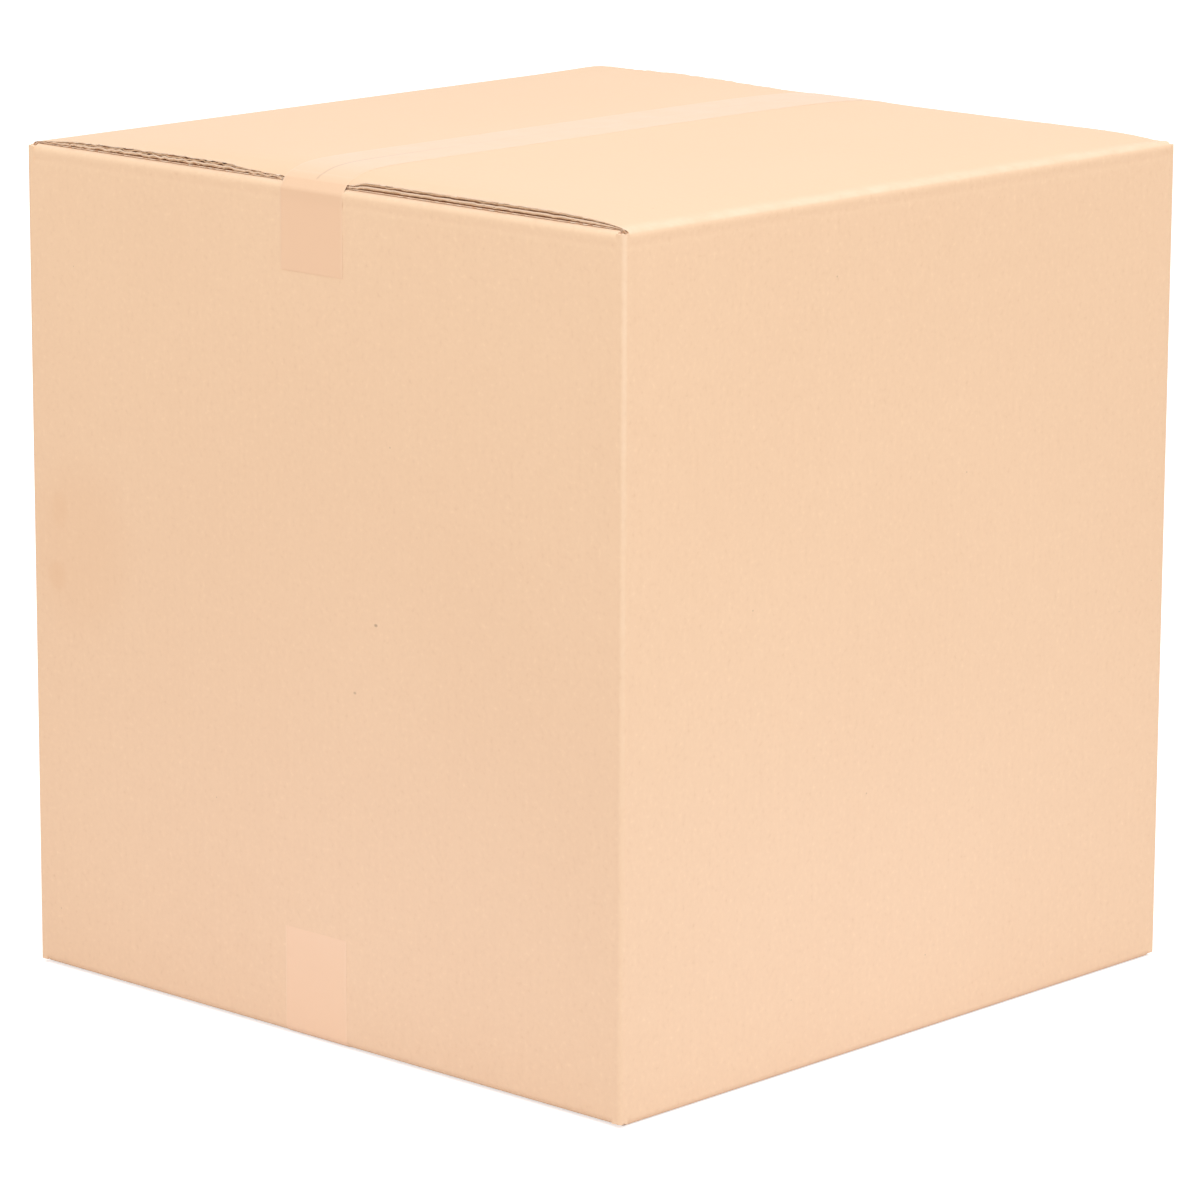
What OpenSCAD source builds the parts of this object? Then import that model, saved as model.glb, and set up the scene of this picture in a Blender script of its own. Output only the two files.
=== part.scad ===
// Closed corrugated carton: one scored and slotted blank, folded, glued at one corner
// and closed with a strip of tape along the seam of its top and of its bottom.
// The front wall faces -Y, the outer flaps are hinged on the side walls at -X and +X.

/* [Carton] */
// Outside width of the front and back walls
carton_w = 480; // [420:5:600]
// Outside width of the two side walls
carton_d = 480; // [420:5:600]
// Height of the front wall's top fold above the floor
carton_h = 500; // [300:5:700]
// Thickness of the five-ply board
board_t = 5.4; // [4.8:0.2:6.6]

/* [Folds] */
// Outer radius of the scored folds between walls and flaps
fold_r = 4.5; // [3.5:0.5:5.5]
// Outer radius of the scored upright corners
corner_r = 3; // [2:0.5:4]
// Height of the outer top flaps' folds above those of the inner flaps
score_step = 1; // [0.6:0.2:1.6]
// Height of the inner bottom flaps' folds above the floor
heel_lift = 1; // [0.6:0.2:1.6]

/* [Flaps] */
// Gap between two flaps that meet in the middle
seam_gap = 1; // [0.6:0.2:3]
// Air left between flaps that lie on each other
layer_gap = 0.3; // [0.2:0.1:0.6]
// Clearance between an inner flap's side and the wall beside it
inner_clear = 1; // [0.6:0.2:3]
// Set-back of the outer top flaps from the front and back walls' faces
top_inset = 4; // [3:0.5:6]
// Set-back of the outer bottom flaps from the front and back walls' faces
bottom_inset = 6; // [5:0.5:9]
// Length over which a crushed outer top flap swells to its full thickness
swell_run = 24; // [14:1:40]
// Height to which the outer top flaps' meeting edges stand above their cut side edges
ridge_rise = 4.6; // [2:0.2:6]
// Length over which that rise builds up behind the cut side edges
ridge_run = 10; // [8:1:20]
// Length over which an inner bottom flap climbs onto the outer ones
climb_run = 12; // [8:1:20]
// Depth of the slot's open end in the upright corners
notch_depth = 2; // [1:0.5:3]

/* [Board edge] */
// Thickness of each of the three flat papers
liner_t = 0.5; // [0.3:0.1:0.7]
// Thickness of each of the two fluted papers
medium_t = 0.4; // [0.3:0.1:0.6]
// Depth to which the flutes lie open along a cut edge
flute_depth = 6; // [3:0.5:10]
// Length in which a fluted paper wanders once up and down along the cut
flute_drift = 70; // [40:5:120]

/* [Glue tab] */
// Width of the tab glued inside the back wall
tab_w = 35; // [25:1:50]
// Distance of the tab's ends from the floor and from the top folds
tab_trim = 18; // [15:1:30]
// Set-back of the back wall's raw edge from the corner
joint_step = 1.5; // [0.5:0.5:2.5]

/* [Tape] */
// Width of the tape
tape_w = 50; // [40:1:75]
// Thickness of the tape
tape_t = 0.2; // [0.1:0.05:0.3]
// Thickness of the glue under the tape
tape_glue = 0.05; // [0.05:0.05:0.15]
// Height of the bottom tape above the floor
tape_lift = 0.1; // [0.1:0.05:0.2]
// Length of the top tape's tails on the front and back walls
top_tail = 50; // [30:1:90]
// Length of the bottom tape's tails on the front and back walls
bottom_tail = 65; // [30:1:90]
// Depth to which the top tape crushes the ends of the outer flaps
crush_drop = 3.3; // [2:0.1:4]
// Distance from the flaps' side edges at which that crushing starts
crush_len = 6; // [5:0.5:9]
// Distance beside the tape over which that crushing dies out
crush_run = 50; // [20:5:80]

/* [Hidden] */
$fn = 48;
kraft = [0.949, 0.796, 0.655];
film = [0.965, 0.816, 0.69];

half_w = carton_w / 2;
half_d = carton_d / 2;
// Reach of a flap of either pair, from its wall's face to the seam
outer_reach = half_w - seam_gap / 2;
inner_reach = half_d - seam_gap / 2;
// Half widths of the flaps across their reach
inner_half = half_w - board_t - inner_clear;
top_half = half_d - top_inset;
bottom_half = half_d - bottom_inset;

// Levels are counted outwards from the floor plane: up for the top, down for the bottom
top_bed = carton_h + layer_gap;
top_level = top_bed + board_t;
outer_crest = carton_h + score_step;
heel_crest = -heel_lift;
heel_level = -board_t - layer_gap;
// Depth of the shallow press mark that takes the bottom tape, and its sloping border
dent_depth = tape_lift + tape_t + tape_glue;
dent_flat = tape_w / 2 + 3;
dent_out = dent_flat + 10;

// Overlap of each fold with the wall that carries it, and cut-away beyond a surface
root = 4;
past = 1;
fold_steps = 10;
climb_steps = [0.3, 0.7, 1.2, 1.8, 2.6, 4];

// Levels of the outer top flaps' meeting edges and of their crushed ends under the tape
ridge_level = top_level + ridge_rise;
crush_level = top_level - crush_drop;
// Distances from the walls' faces between which the flaps rise, across and along the seam
rise_first = swell_run;
rise_last = half_w - tape_w / 2;
rise_edge = top_inset + max(crush_len, flute_depth);

// The two rows of flutes, as shares of the board's thickness
liner_f = liner_t / board_t;
flute_rows = [[liner_f, 0.5 - liner_f / 2], [0.5 + liner_f / 2, 1 - liner_f]];
row_phase = 140;
drift_steps = 8;

function turned(list) = [for (i = [len(list) - 1:-1:0]) list[i]];

// Points of an arc round c from angle a to angle b
function arc(c, r, a, b, n) =
    [for (i = [0:n]) c + r * [cos(a + (b - a) * i / n), sin(a + (b - a) * i / n)]];

// Angle at which a tape drawn tight from point p touches the fold's round at c
function tight(p, c) = atan2(p.y - c.y, p.x - c.x) + acos(fold_r / norm(p - c));

// Where a flap's outer surface leaves the round of its fold
function leave(crest, tilt) =
    [fold_r * (1 - sin(tilt)), crest - fold_r * (1 - cos(tilt))];

// Level of a flap that settles from its fold's crest to its bed like 1 - exp(-distance)
function settled(crest, level, run, u) =
    let (start = leave(crest, atan((level - crest) / run)))
    start.y + (level - start.y) * (1 - exp(-max(0, u - start.x) / run));

// Rise of an outer top flap, in a straight line from its swollen fold to the tape
function lift(u) =
    ridge_rise * max(0, min(1, (u - rise_first) / (rise_last - rise_first)));

// Highest level of the lid at a distance from the front or back wall's face
function lid_level(v) =
    top_level + ridge_rise * (1 - exp(-max(0, v - rise_edge) / ridge_run));

// Line of that level, from the end of the crushed edge to the middle of the lid
function lid_line() = concat(
    rise_edge > top_inset + crush_len ? [[top_inset + crush_len, top_level]] : [],
    [for (k = concat([0], climb_steps)) [rise_edge + k * ridge_run, lid_level(rise_edge + k * ridge_run)]],
    [[rise_edge + 6 * ridge_run, ridge_level], [half_d, ridge_level]]
);

// Points of a line, but for its last, moved off it to its right
function beside(line, off) =
    [for (i = [0:len(line) - 2])
        let (way = line[i + 1] - line[max(0, i - 1)])
        line[i] + off * [-way.y, way.x] / -norm(way)];

// Outer surface of a fold and its flap, as [distance from the wall's face, level]
function fold_line(crest, level, run) =
    let (tilt = atan((level - crest) / run))
    let (start = leave(crest, tilt))
    concat(
        [[0, crest - fold_r - root]],
        arc([fold_r, crest - fold_r], fold_r, 180, 90 + tilt, fold_steps),
        level == crest ? [] : [for (k = climb_steps)
            [start.x + k * run, settled(crest, level, run, start.x + k * run)]]
    );

// Lower surface of a flap of full thickness that lies under the given outer surface
function under(line) = turned([for (p = line) if (p.x > board_t) [p.x, p.y - board_t]]);

// A profile of distance and level, carried from front to back or from side to side
module front_to_back(width) {
    rotate([90, 0, 0])
        linear_extrude(height = width, center = true)
            children();
}

module side_to_side(width) {
    rotate([90, 0, 90])
        linear_extrude(height = width, center = true)
            children();
}

module both_sides() {
    children();
    mirror([1, 0, 0])
        children();
}

module both_ends() {
    children();
    mirror([0, 1, 0])
        children();
}

// Walls, seen from above, with round scores at three corners and the glued joint
module wall_outline() {
    difference() {
        union() {
            square([carton_w - 2 * corner_r, carton_d], center = true);
            square([carton_w, carton_d - 2 * corner_r], center = true);
            for (x = [-1, 1], y = [-1, 1])
                translate([x * (half_w - corner_r), y * (half_d - corner_r)])
                    circle(r = corner_r);
        }
        square([carton_w - 2 * board_t, carton_d - 2 * board_t], center = true);
        translate([-half_w - past, half_d - board_t])
            square([past + joint_step, board_t + past]);
        translate([-half_w - past, half_d - board_t - corner_r])
            square([past + corner_r, corner_r]);
    }
    translate([corner_r - half_w, half_d - board_t - corner_r])
        circle(r = corner_r);
}

module walls(low, high) {
    translate([0, 0, low])
        linear_extrude(height = high - low)
            wall_outline();
}

module glue_tab() {
    translate([corner_r - half_w, half_d - 2 * board_t, tab_trim])
        cube([board_t - corner_r + tab_w, board_t, carton_h - 2 * tab_trim]);
}

// Ends of the upright corners, beside the slots between two flaps
module corner_ends(low, high, inset) {
    intersection() {
        walls(low, high);
        both_sides()
            both_ends()
                translate([inner_half, half_d - inset, low])
                    cube([half_w - inner_half, inset, high - low]);
    }
}

// Lid's outline from front to back, held down at both ends, from a low level up
module lid_from_side(low) {
    half_line = lid_line();
    side_to_side(carton_w)
        polygon(concat(
            [[-top_half - past, low]],
            [[-top_half - past, top_level]],
            [for (p = half_line) [p.x - half_d, p.y]],
            turned([for (p = half_line) [half_d - p.x, p.y]]),
            [[top_half + past, top_level]],
            [[top_half + past, low]]
        ));
}

// Outer top flap: crushed at its score, it swells to the board's full thickness and
// rises to the seam; its ends are held down, so its underside lies hollow between them
module outer_top_flap() {
    line = [for (p = fold_line(outer_crest, top_level, swell_run)) p + [0, lift(p.x)]];
    full = [for (p = line) if (p.x > rise_first) p];
    ridge = [[rise_last, ridge_level], [outer_reach, ridge_level]];
    difference() {
        intersection() {
            front_to_back(2 * top_half)
                translate([-half_w, 0])
                    polygon(concat(
                        line,
                        ridge,
                        [[outer_reach, top_bed]],
                        [[board_t + inner_clear / 2, top_bed]],
                        [[board_t, outer_crest - fold_r - root]]
                    ));
            lid_from_side(outer_crest - 2 * fold_r - root);
        }
        translate([0, 0, -board_t])
            intersection() {
                front_to_back(2 * top_half + past)
                    translate([-half_w, 0])
                        polygon(concat(
                            full,
                            ridge,
                            [[outer_reach + past, ridge_level]],
                            [[outer_reach + past, top_bed]],
                            [[full[0].x, top_bed]]
                        ));
                lid_from_side(top_bed);
            }
    }
}

module inner_top_flap() {
    side_to_side(2 * inner_half)
        translate([-half_d, 0])
            polygon(concat(
                fold_line(carton_h, carton_h, climb_run),
                [[inner_reach, carton_h]],
                [[inner_reach, carton_h - board_t]],
                [[board_t, carton_h - board_t]],
                [[board_t, carton_h - fold_r - root]]
            ));
}

// Bottom flaps are drawn with their levels outwards and mirrored to face down
module outer_bottom_flap() {
    front_to_back(2 * bottom_half)
        translate([-half_w, 0])
            polygon(concat(
                fold_line(0, 0, climb_run),
                [[half_w - dent_out, 0]],
                [[half_w - dent_flat, -dent_depth]],
                [[outer_reach, -dent_depth]],
                [[outer_reach, -board_t]],
                [[board_t, -board_t]],
                [[board_t, -fold_r - root]]
            ));
}

module inner_bottom_flap() {
    line = fold_line(heel_crest, heel_level, climb_run);
    side_to_side(2 * inner_half)
        translate([-half_d, 0])
            polygon(concat(
                line,
                [[inner_reach, heel_level]],
                [[inner_reach, heel_level - board_t]],
                under(line),
                [[board_t, heel_crest - fold_r - root]]
            ));
}

// Room that the climbing inner bottom flap presses out of the outer flaps' edges
module heel_room() {
    line = [for (p = fold_line(heel_crest, heel_level, climb_run)) p + [0, layer_gap]];
    last = len(line) - 1;
    side_to_side(2 * inner_half)
        translate([-half_d, 0])
            polygon(concat(
                [for (i = [1:last - 1]) line[i]],
                [[line[last].x, -board_t]],
                [[line[last].x, -2 * board_t]],
                [[0, -2 * board_t]]
            ));
}

// Room over the flaps' ends that the top tape has crushed: level across the tape, it
// rises away from the tape and in from the side edge
module tape_crush() {
    slope = atan(crush_drop / crush_len);
    side = tape_w / 2;
    reach = 2 * crush_run;
    translate([0, -top_half, crush_level])
        rotate([slope, 0, 0])
            front_to_back(4 * crush_len)
                polygon([
                    [-side, 0],
                    [side, 0],
                    [side + reach, cos(slope) * crush_drop / crush_run * reach],
                    [-side - reach, cos(slope) * crush_drop / crush_run * reach]
                ]);
}

// Upper border of an outer top flap's cut edge, from near its fold to the tape
function cut_edge() =
    let (first = board_t + inner_clear + top_inset)
    let (last = half_w - tape_w / 2)
    let (count = ceil((last - first) / flute_drift * drift_steps))
    [for (i = [0:count])
        let (u = first + (last - first) * i / count)
        let (free = settled(outer_crest, top_level, swell_run, u) + lift(u))
        let (crush = crush_drop * max(0, 1 - (last - u) / crush_run))
        [u, min(free, top_level) - crush]];

// Upper border of the back wall's raw edge, with its distance along the height
function raw_edge() =
    let (first = heel_lift + fold_r + past)
    let (last = carton_h - fold_r - past)
    let (count = ceil((last - first) / flute_drift * drift_steps))
    [for (i = [0:count]) [first + (last - first) * i / count, board_t]];

// A band between two shares of the thickness along a cut edge
module edge_band(edge, base, low, high) {
    polygon(concat(
        [for (i = [0:len(edge) - 1]) [edge[i].x, base + low[i] * (edge[i].y - base)]],
        turned([for (i = [0:len(edge) - 1]) [edge[i].x, base + high[i] * (edge[i].y - base)]])
    ));
}

module flute_spaces(edge, base) {
    for (row = flute_rows)
        edge_band(edge, base, [for (p = edge) row[0]], [for (p = edge) row[1]]);
}

module flute_papers(edge, base) {
    half_f = medium_t / board_t / 2;
    for (j = [0:1]) {
        row = flute_rows[j];
        middle = [for (p = edge) (row[0] + row[1]) / 2
            + (row[1] - row[0]) / 2 * sin(360 * p.x / flute_drift + row_phase * j)];
        edge_band(edge, base, [for (m = middle) m - half_f], [for (m = middle) m + half_f]);
    }
}

// Puts a profile along an outer top flap's cut edge, as deep as the flutes lie open
module at_flap_edge(depth) {
    translate([-half_w, depth - top_half, 0])
        rotate([90, 0, 0])
            linear_extrude(height = depth)
                children();
}

// Puts a profile along the back wall's raw upright edge
module at_raw_edge(depth) {
    translate([joint_step - half_w, half_d - board_t, 0])
        mirror([1, 0, -1])
            linear_extrude(height = depth)
                children();
}

module carton() {
    color(kraft) {
        difference() {
            union() {
                walls(heel_lift + fold_r, carton_h - fold_r);
                glue_tab();
                corner_ends(carton_h - fold_r - past, carton_h - notch_depth, top_inset);
                corner_ends(notch_depth, heel_lift + fold_r + past, bottom_inset);
                both_ends()
                    inner_top_flap();
                difference() {
                    both_sides()
                        outer_top_flap();
                    both_ends()
                        tape_crush();
                }
                mirror([0, 0, 1]) {
                    both_ends()
                        inner_bottom_flap();
                    difference() {
                        both_sides()
                            outer_bottom_flap();
                        both_ends()
                            heel_room();
                    }
                }
            }
            both_sides()
                both_ends()
                    at_flap_edge(flute_depth)
                        flute_spaces(cut_edge(), top_bed);
            at_raw_edge(flute_depth)
                flute_spaces(raw_edge(), 0);
        }
        both_sides()
            both_ends()
                at_flap_edge(flute_depth + past)
                    flute_papers(cut_edge(), top_bed);
        at_raw_edge(flute_depth + past)
            flute_papers(raw_edge(), 0);
    }
}

// Path of the top tape at a distance off the board, from the seam to its tail's end
function top_wrap(off) =
    let (edge = [top_inset, crush_level])
    let (fold_c = [fold_r, carton_h - fold_r])
    let (lean = tight(edge, fold_c))
    let (board = concat(turned(lid_line()), [edge]))
    concat(
        beside(board, off),
        arc(edge, off, 90 + atan(crush_drop / crush_len), lean, 2),
        arc(fold_c, fold_r + off, lean, 180, fold_steps),
        [[-off, carton_h - top_tail]]
    );

// Path of the bottom tape, likewise
function bottom_wrap(off) =
    let (edge = [bottom_inset, -dent_depth])
    let (fold_c = [fold_r, heel_crest - fold_r])
    let (lean = tight(edge, fold_c))
    concat(
        arc(edge, off, 90, lean, 2),
        arc(fold_c, fold_r + off, lean, 180, fold_steps),
        [[-off, -bottom_tail]]
    );

// A whole path, from the tail on the front wall to the tail on the back wall
function both_tails(wrap) = concat(
    turned([for (p = wrap) [p.x - half_d, p.y]]),
    [for (p = wrap) [half_d - p.x, p.y]]
);

module tape(near, far) {
    color(film)
        side_to_side(tape_w)
            polygon(concat(both_tails(near), turned(both_tails(far))));
}

module top_tape() {
    tape(top_wrap(tape_glue), top_wrap(tape_glue + tape_t));
}

module bottom_tape() {
    mirror([0, 0, 1])
        tape(bottom_wrap(tape_glue), bottom_wrap(tape_glue + tape_t));
}

carton();
top_tape();
bottom_tape();
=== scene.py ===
"""Closed corrugated carton with taped seams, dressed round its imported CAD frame."""

import math

import bpy
import numpy as np
from mathutils import Matrix


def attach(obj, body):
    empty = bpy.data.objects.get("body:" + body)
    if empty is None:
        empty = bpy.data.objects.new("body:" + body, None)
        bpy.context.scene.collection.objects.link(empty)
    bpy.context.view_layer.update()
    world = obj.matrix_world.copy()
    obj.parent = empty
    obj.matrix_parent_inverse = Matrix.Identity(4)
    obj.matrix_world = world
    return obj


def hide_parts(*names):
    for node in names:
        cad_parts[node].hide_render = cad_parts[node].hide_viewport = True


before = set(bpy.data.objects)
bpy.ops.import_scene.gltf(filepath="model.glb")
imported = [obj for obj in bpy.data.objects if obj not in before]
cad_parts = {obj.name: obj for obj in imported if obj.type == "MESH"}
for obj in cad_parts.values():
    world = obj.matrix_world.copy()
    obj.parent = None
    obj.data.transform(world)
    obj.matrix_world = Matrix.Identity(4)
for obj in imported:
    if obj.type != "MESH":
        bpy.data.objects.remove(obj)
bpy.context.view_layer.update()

# Sizes, in millimetres
MM = 0.001
HALF = 240.0  # from the middle of the carton to each wall's face
BOARD = 5.4  # five-ply board
LINER = 0.5  # each of its three flat papers
MEDIUM = 0.4  # each of its two fluted papers
FLUTE_PITCH = 7.2
OPEN_DEPTH = 9.0  # depth of the flutes that are modelled behind a cut edge
DEPTH_STEP = 0.9  # between the rows of points along that depth
LOWER_WANDER = 0.25  # the lower fluted paper wanders only by this share of the upper one's way
CORE_LAP = 0.5  # the plain core behind the flutes reaches this far into their depth
CORE_LOW, CORE_HIGH = 0.14, 0.86  # its faces in a flap, as shares of the board's thickness
CORE_OUTER_GAP = 0.5  # its gap in the back wall to the outer paper, which sinks in towards it
CORE_INNER_GAP = 0.05  # and to the inner paper
FOLD_R = 4.5  # outside of the folds between walls and flaps
CORNER_R = 3.0  # outside of the upright corners
CORNER_IN_R = 0.6  # the crease inside an upright corner
JOINT_STEP = 1.5  # the glued raw edge stands this far in from its corner
TAB_REACH = 40.4  # from the left wall's face to the glue tab's free end
WALL_LOW, WALL_HIGH = 10.0, 488.0  # heights where the walls' pieces meet the flaps' pieces
TOP_LEVEL = 505.7  # upper face of the outer top flaps, without the lid's rise
INNER_TOP = 500.0  # upper face of the inner top flaps
OUTER_CREST = 501.0  # top of the outer top flaps' folds
SEAM = 0.5  # half of the gap between two flaps
TOP_HALF = 236.0  # half widths of the outer top, the outer bottom and the inner flaps
BOTTOM_HALF = 234.0
INNER_HALF = 233.6
POST_TOP, POST_LOW = 499.0, 2.0  # heights of the board's ends beside the slots
LEFT_POST_DROP = 1.5  # the end beside the glued joint is this much lower at the top
LEFT_POST_REACH = 6.0  # and takes this much of the tab, from the left wall's face
LEFT_POST_IN = 1.4  # its inner side ends this far past the tab's inner face
HEEL_CREST = 1.0  # height that the inner bottom flaps' folds come down to
HEEL_LEVEL = 5.7  # height of their lower faces
BOTTOM_DENT = 0.35  # the bottom tape lies in a shallow press mark
CLIMB = 12.0  # way over which a plain flap settles from its fold to its own level
SCORE_DEPTH, SCORE_DROP, SCORE_WIDTH = 0.22, 8.5, 1.5  # the press line below a fold's crest
LEAD, LEAD_RUN = 1.6, 6.0  # past a fold the lower face's points lie further on, fading over a way
CREASE = 0.9  # depth of the inner crease's rounding
CREASE_DROP = 0.6  # it starts at least this far below the flap's lower face
RIDGE_RISE = 4.6  # the lid's seam stands this much above its cut side edges
RISE_FIRST, RISE_LAST = 24.0, 215.0  # from a side wall's face, where the flaps rise to the tape
RISE_EDGE = 10.0  # from the front wall's face, where their ends start to rise
RIDGE_RUN = 10.0  # over this way they reach nearly two thirds of their rise
BACK_RUN = 28.0  # the same for their slope down to the back wall
CRUSH_DROP = 3.3  # the tape crushes the flaps' ends by this much
CRUSH_LEN = 6.0  # over this way in from their front ends
CRUSHED_LEAST = 0.35  # a crushed flap is nowhere thinner than this
RIM_SWELL = 0.8  # a cut paper's rim is frayed thicker by this share
TAPE_HALF = 25.0
TAPE_GLUE = 0.05  # the film's distance from the board
TAPE_FILM = 0.2
RIM_WIDTH = 1.4  # along its rims the film is thinner and closer to the board
RIM_GLUE = 0.01  # its distance there
RIM_FILM = 0.25  # share of the film's thickness that is left at its rims


# Finishes of a piece's faces, in the order of its material slots
KRAFT, RAW, FLUTED = 0, 1, 2


# Shapes as arrays of points
def ripple(where, length, seed, count=7):
    """Smooth wander, about -1 to 1: a sum of sines of lengths near the given one, seeded."""
    rng = np.random.default_rng(seed)
    waves = length * rng.uniform(0.55, 1.9, count)
    phases = rng.random(count)
    return sum(np.sin(2 * np.pi * (where / w + p)) for w, p in zip(waves, phases)) / math.sqrt(count)


def ripple_over(a, b, length, seed, count=9):
    """The same over two coordinates: a sum of plane waves in seeded directions."""
    rng = np.random.default_rng(seed)
    total = 0.0
    for turn, share, phase in rng.random((count, 3)):
        along = a * math.cos(2 * np.pi * turn) + b * math.sin(2 * np.pi * turn)
        total = total + np.sin(2 * np.pi * (along / (length * (0.6 + 1.2 * share)) + phase))
    return total / math.sqrt(count)


def rise(x, start, end):
    """Smooth step from 0 at start to 1 at end."""
    t = np.clip((x - start) / (end - start), 0, 1)
    return t * t * (3 - 2 * t)


def bump(x, centre, width):
    """Bell curve, 1 at the centre."""
    return np.exp(-(((x - centre) / width) ** 2))


def around(across, out, level, quarter):
    """Points in the front wall's frame (across, outwards, up), turned by quarters to another wall."""
    x, y = np.broadcast_arrays(across, -np.asarray(out, float))
    for _ in range(quarter):
        x, y = -y, x
    return np.stack(np.broadcast_arrays(x, y, level), -1)


def slab(top, bottom, face=KRAFT, cut=RAW):
    """Closed shell between two grids of points: both grids' quads and a band of quads along their
    common border. The shell is turned so that its volume, the sum of the wedges from its middle to
    its faces, is positive."""
    rows, cols = top.shape[:2]
    count = rows * cols
    index = np.arange(count).reshape(rows, cols)
    quads = np.stack([index[:-1, :-1], index[1:, :-1], index[1:, 1:], index[:-1, 1:]], -1).reshape(-1, 4)
    border = np.concatenate([index[:, 0], index[-1, 1:], index[-2::-1, -1], index[0, -2:0:-1]])
    after = np.roll(border, -1)
    band = np.stack([after, border, border + count, after + count], -1)
    faces = np.concatenate([quads, quads[:, ::-1] + count, band])
    points = np.concatenate([top.reshape(-1, 3), bottom.reshape(-1, 3)])
    corners = points[faces] - points.mean(0)
    wedges = np.einsum("ij,ij->i", corners[:, 0], np.cross(corners[:, 1], corners[:, 2]))
    wedges += np.einsum("ij,ij->i", corners[:, 0], np.cross(corners[:, 2], corners[:, 3]))
    if wedges.sum() < 0:
        faces = faces[:, ::-1]
    kinds = np.concatenate([np.full(2 * len(quads), face), np.full(len(band), cut)])
    return points, faces, kinds


def piece(name, shells, finishes, node):
    """One object from closed shells, smooth but for edges sharper than 35 degrees."""
    starts = np.cumsum([0] + [len(s[0]) for s in shells[:-1]])
    points = np.concatenate([s[0] for s in shells]) * MM
    faces = np.concatenate([s[1] + start for s, start in zip(shells, starts)])
    kinds = np.concatenate([s[2] for s in shells])
    mesh = bpy.data.meshes.new(name)
    mesh.from_pydata(points.tolist(), [], faces.tolist())
    for finish in finishes:
        mesh.materials.append(finish)
    mesh.polygons.foreach_set("material_index", kinds.astype(np.int32))
    mesh.polygons.foreach_set("use_smooth", np.ones(len(faces), bool))
    mesh.set_sharp_from_angle(angle=math.radians(35))
    mesh.update()
    made = bpy.data.objects.new(name, mesh)
    bpy.context.scene.collection.objects.link(made)
    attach(made, "root")
    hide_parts(node)


def spread(low, high, fine, coarse, edge=30.0):
    """Positions from low to high, spaced finely near both ends and coarsely between."""
    near = np.arange(0, edge, fine)
    middle = np.linspace(low + edge, high - edge, max(2, int((high - low - 2 * edge) / coarse) + 1))
    return np.concatenate([low + near, middle, high - near[::-1]])


# The board's papers
def paper_shares(thickness):
    """Shares of the thickness that a liner and a fluted paper take where the board is pressed thin."""
    return np.clip(LINER / thickness, 0, 0.13), np.clip(MEDIUM / thickness, 0, 0.08)


def open_edge(at, thickness, along, rough, seed, phases):
    """Middle liner and two fluted papers behind a cut edge. at(index, depth, share) gives points, and
    along the way along the cut at each index. A fluted paper's share of the thickness follows a sine
    of the depth whose phase wanders along the cut. The middle liner wanders by the same roughness."""
    depths = np.arange(0, OPEN_DEPTH + DEPTH_STEP / 2, DEPTH_STEP)
    index, depth = np.meshgrid(np.arange(len(along)), depths, indexing="ij")
    where, rim = along[index], depth == 0
    liner, medium = paper_shares(thickness(index, depth))
    inner_liner, medium = liner * (1 + RIM_SWELL * rim), medium * (1 + RIM_SWELL * rim)
    middle = 0.5 + rough * (0.08 * ripple(where, 13, seed) + 0.05 * ripple(where, 6, seed + 1))
    set_in = depth + rim * (0.35 + 0.25 * ripple(where, 5, seed + 2))
    over, below = middle + inner_liner / 2, middle - inner_liner / 2
    shells = [slab(at(index, set_in, over), at(index, set_in, below), RAW, RAW)]
    for row, phase in enumerate(phases):
        low, high = (over, 1 - liner) if row else (liner, below)
        wander = 0.05 * ripple(where, 60, seed + 11 + row) + rough * (1.0 if row else LOWER_WANDER) * (
            0.24 * ripple(where, 14, seed + 21 + row) + 0.16 * ripple(where, 6, seed + 31 + row))
        wave = np.sin(2 * np.pi * (depth / FLUTE_PITCH + phase + wander))
        centre = (low + high) / 2 + wave * np.maximum(high - low - medium, 0) * 0.48
        set_in = depth + rim * np.clip(0.5 + 0.35 * ripple(where, 4, seed + 41 + row), 0.1, 1.2)
        over_side = at(index, set_in, centre + medium / 2)
        under_side = at(index, set_in, centre - medium / 2)
        shells.append(slab(over_side, under_side, FLUTED, FLUTED))
    return shells


# Walls
def wall_sink(across, level, seed):
    """Depth of a wall's soft unevenness, 0 along its borders: up to about 0.4 mm between."""
    fade = rise(HALF - np.abs(across), 8, 60) * rise(level, 16, 70) * rise(WALL_HIGH - level, 0, 60)
    return np.maximum(fade * (0.22 + 0.16 * ripple_over(across, level, 210, seed)), 0)


def corner_round(steps=8):
    """Outer and inner points of an upright corner, in the frame of the wall on its left."""
    turn = np.linspace(0, math.pi / 2, steps + 1)[1:]
    centre = HALF - CORNER_R
    inner_centre = HALF - BOARD - CORNER_IN_R
    way = np.stack([np.sin(turn), np.cos(turn)], -1)
    return centre + CORNER_R * way, inner_centre + CORNER_IN_R * way


def wall_path(quarter):
    """Outer and inner points of a wall's section seen from above, as (across, outwards). The corner to
    the next wall is part of it."""
    straight = HALF - CORNER_R
    first = -straight if quarter != 3 else BOARD + CORNER_R - HALF
    last = straight if quarter != 2 else HALF - JOINT_STEP
    across = spread(first, last, 3, 8)
    inner_first = CORNER_IN_R + BOARD - HALF if quarter != 3 else 2 * BOARD + CORNER_IN_R - HALF
    inner_last = HALF - BOARD - CORNER_IN_R if quarter != 2 else last
    inner_across = inner_first + (across - first) * (inner_last - inner_first) / (last - first)
    outer = np.stack([across, np.full_like(across, HALF)], -1)
    inner = np.stack([inner_across, np.full_like(across, HALF - BOARD)], -1)
    if quarter != 2:
        round_outer, round_inner = corner_round()
        outer, inner = np.concatenate([outer, round_outer]), np.concatenate([inner, round_inner])
    if quarter == 3:
        tab_outer, tab_inner = tab_path()
        outer, inner = np.concatenate([tab_outer, outer]), np.concatenate([tab_inner, inner])
    return outer, inner


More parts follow.
